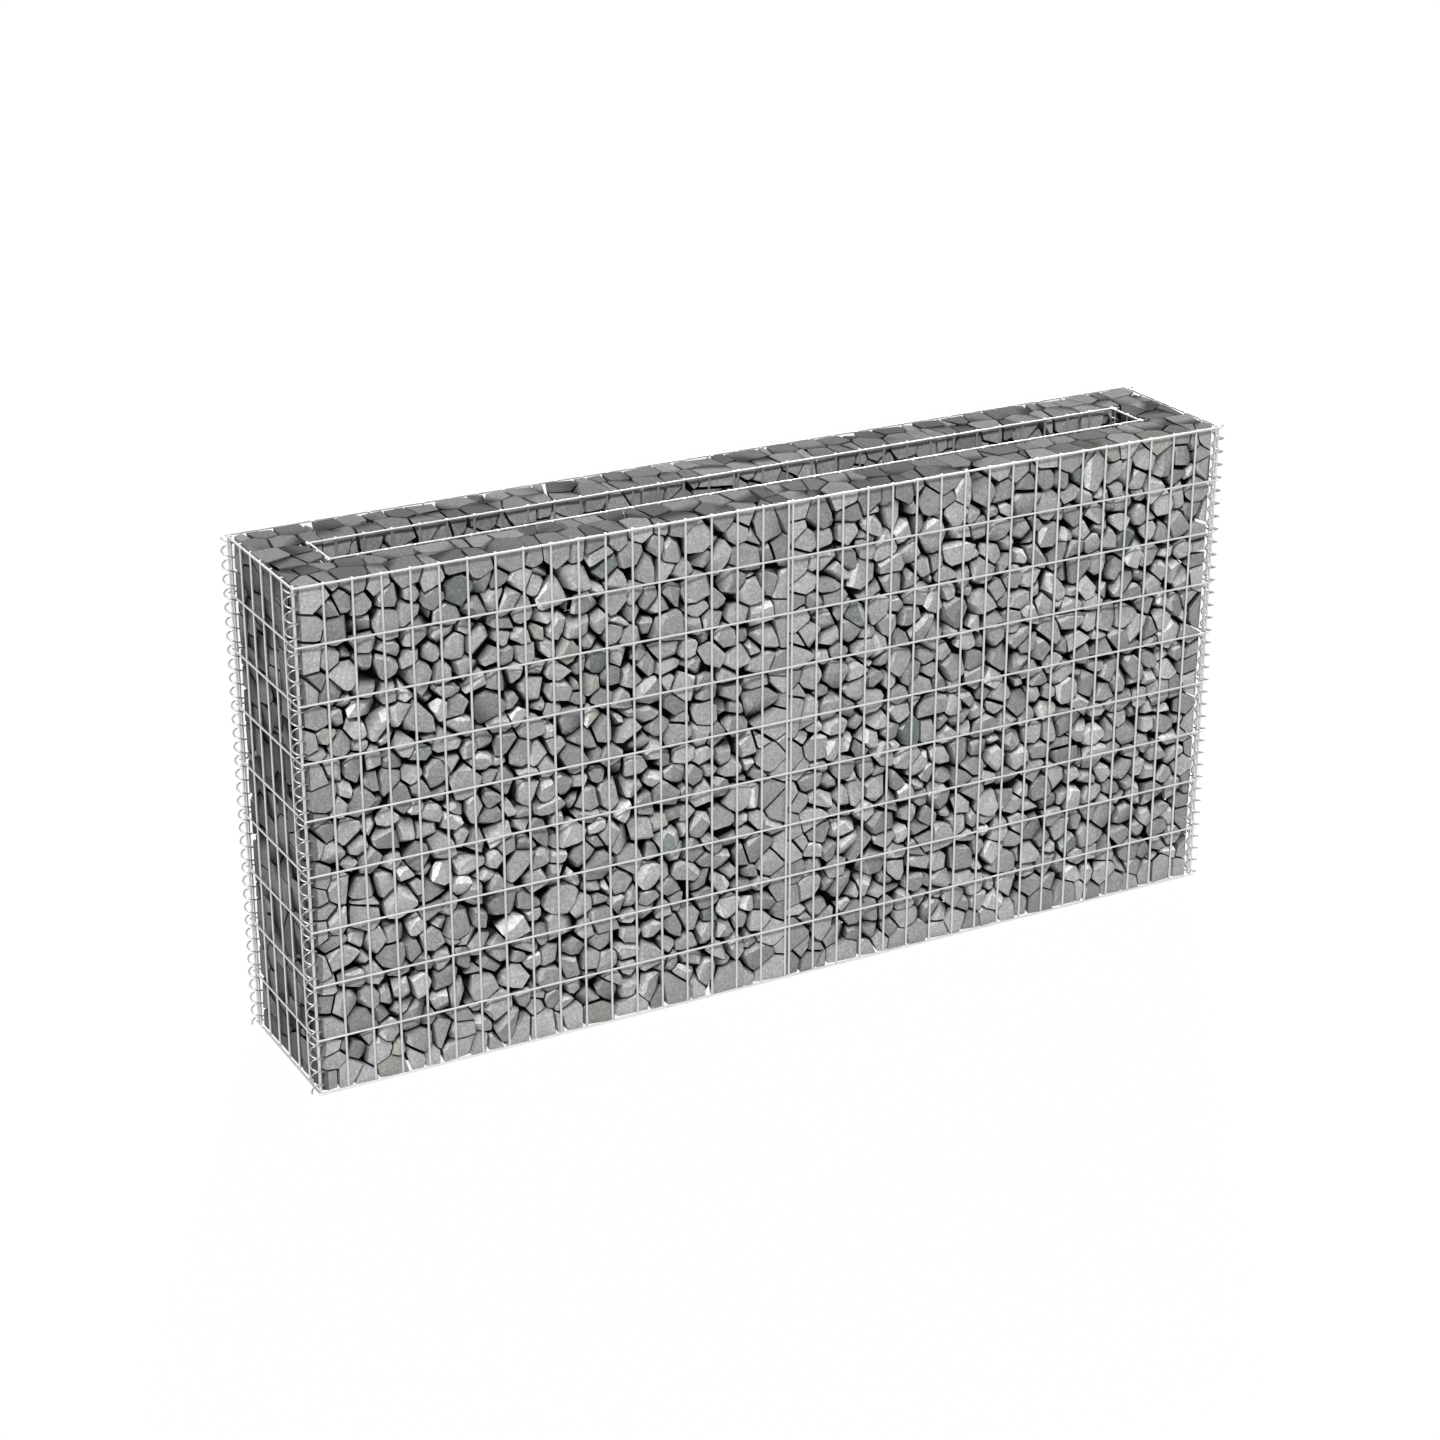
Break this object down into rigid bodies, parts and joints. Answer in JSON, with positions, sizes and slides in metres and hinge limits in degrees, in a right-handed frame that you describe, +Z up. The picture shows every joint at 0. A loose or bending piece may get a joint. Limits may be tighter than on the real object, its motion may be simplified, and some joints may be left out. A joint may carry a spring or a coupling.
{
  "type": "gabion raised bed",
  "caption": "Long narrow raised bed of welded wire mesh filled with crushed stone, with an open planting trough along the top and spiral wire at the corners.",
  "frame": {"origin": "middle of the footprint, on the ground", "axes": "+X along the bed, +Y across it towards its back, +Z up"},
  "size_m": [1.8234, 0.3038, 0.9],
  "materials": {
    "galvanised_mesh": "dull galvanised wire",
    "spiral_wire": "bright galvanised wire",
    "stone_fill": "rough crushed grey stone"
  },
  "bodies": {
    "root": {"front_panel_left": "galvanised_mesh", "front_panel_right": "galvanised_mesh", "back_panel_left": "galvanised_mesh", "back_panel_right": "galvanised_mesh", "end_panel_left": "galvanised_mesh", "end_panel_right": "galvanised_mesh", "trough_panel_front_left": "galvanised_mesh", "trough_panel_front_right": "galvanised_mesh", "trough_panel_back_left": "galvanised_mesh", "trough_panel_back_right": "galvanised_mesh", "trough_end_left": "galvanised_mesh", "trough_end_right": "galvanised_mesh", "corner_spiral_front_left": "spiral_wire", "corner_spiral_front_right": "spiral_wire", "corner_spiral_back_left": "spiral_wire", "corner_spiral_back_right": "spiral_wire", "trough_spiral_front_left": "spiral_wire", "trough_spiral_front_right": "spiral_wire", "trough_spiral_back_left": "spiral_wire", "trough_spiral_back_right": "spiral_wire", "stone_wall_front_left": "stone_fill", "stone_wall_front_right": "stone_fill", "stone_wall_back_left": "stone_fill", "stone_wall_back_right": "stone_fill", "stone_end_left": "stone_fill", "stone_end_right": "stone_fill"}
  },
  "joints": []
}
